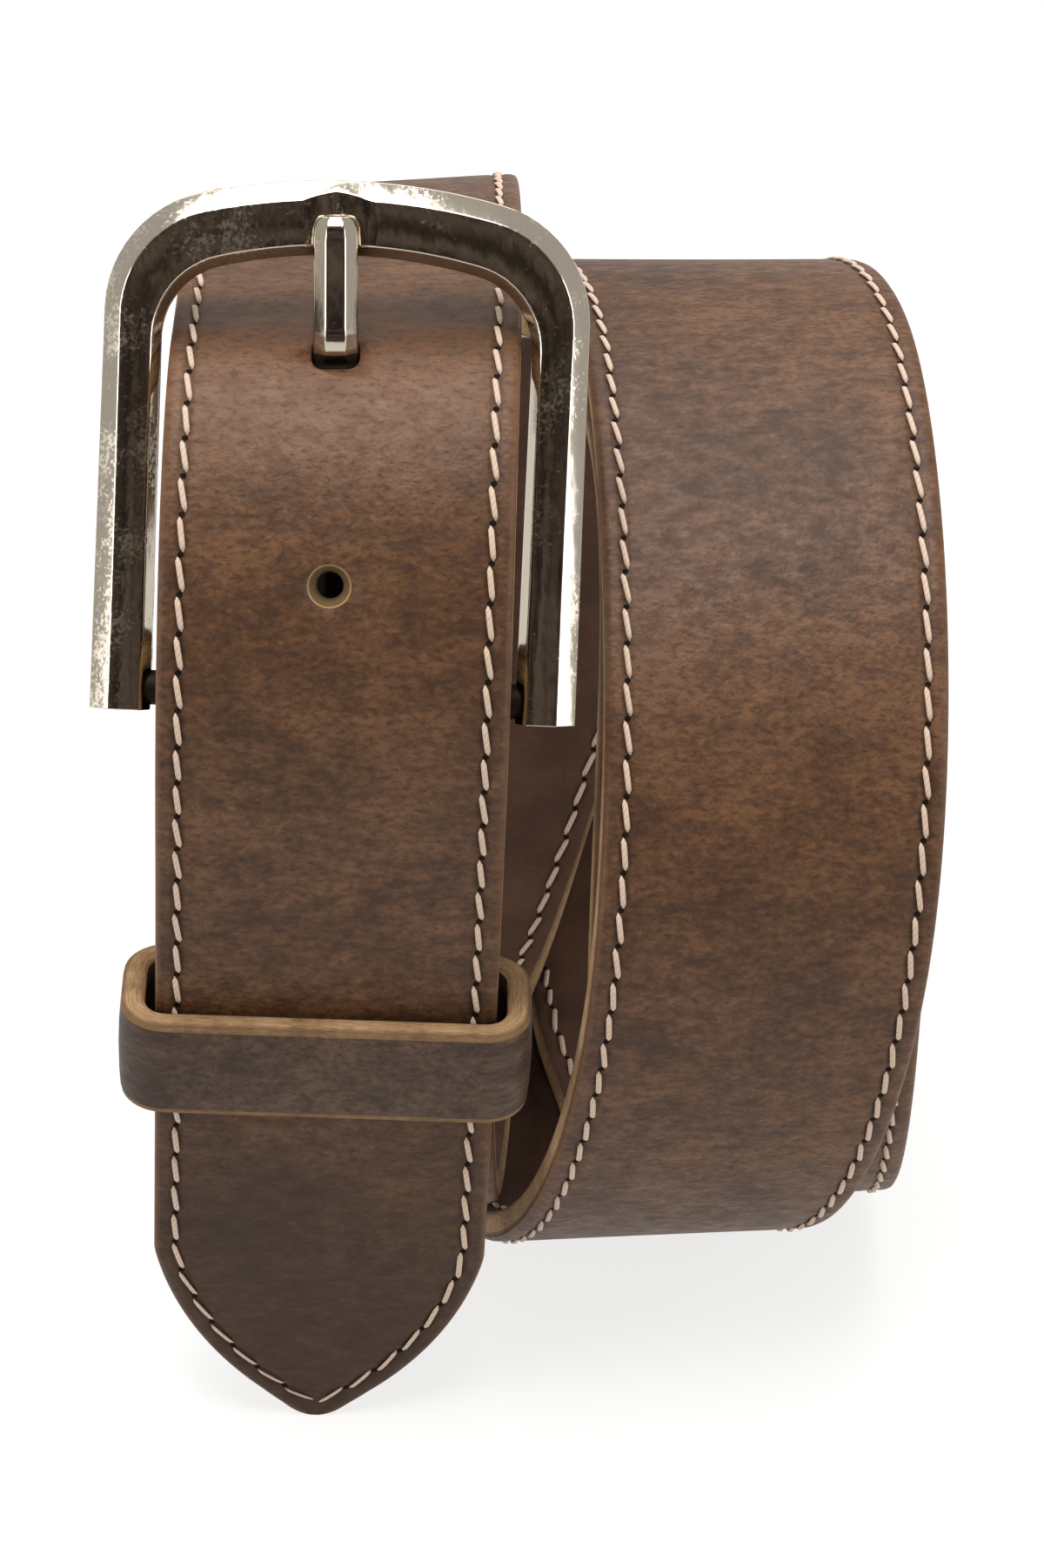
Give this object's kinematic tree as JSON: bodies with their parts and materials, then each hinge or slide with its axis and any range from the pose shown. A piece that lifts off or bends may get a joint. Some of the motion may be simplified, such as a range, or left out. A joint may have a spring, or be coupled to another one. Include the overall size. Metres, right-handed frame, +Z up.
{
  "type": "leather belt",
  "caption": "Buckled leather dress belt folded into three turns standing on edge, with a bevelled metal frame buckle, prong and keeper loop.",
  "frame": {"origin": "bottom centre of the whole belt's box, on the surface it stands on", "axes": "+Z up, -Y towards the buckle side, +X across the strap to the right as seen from the buckle side"},
  "size_m": [0.0868, 0.1186, 0.1323],
  "materials": {
    "strap_leather": "matte oiled full-grain",
    "keeper_leather": "matte oiled full-grain, darker",
    "buckle_metal": "polished dark nickel",
    "rivet_metal": "polished nickel"
  },
  "bodies": {
    "strap": {"strap_tip_run": "strap_leather", "strap_outer_turn": "strap_leather", "strap_middle_turn": "strap_leather", "strap_inner_turn": "strap_leather", "strap_fold": "strap_leather", "fold_rivet_posts": "rivet_metal", "fold_rivet_caps": "rivet_metal"},
    "frame": {"buckle_frame": "buckle_metal", "heel_bar": "buckle_metal"},
    "prong": {"prong": "buckle_metal"},
    "keeper": {"keeper_loop": "keeper_leather", "keeper_staple": "rivet_metal"}
  },
  "joints": [
    {"name": "frame_swing", "type": "hinge", "parent": "strap", "child": "frame", "pos_m": [-0.01887, -0.04519, 0.08707], "axis": [0.9991, -0.009, -0.0422], "range_deg": [-1.5, 0]},
    {"name": "prong_lift", "type": "hinge", "parent": "strap", "child": "prong", "pos_m": [-0.01887, -0.04519, 0.08707], "axis": [0.9991, -0.009, -0.0422], "range_deg": [0, 1.5]},
    {"name": "keeper_slide", "type": "slide", "parent": "strap", "child": "keeper", "axis": [0.043, 0, 0.9991], "range_m": [-0.004, 0.004]}
  ]
}
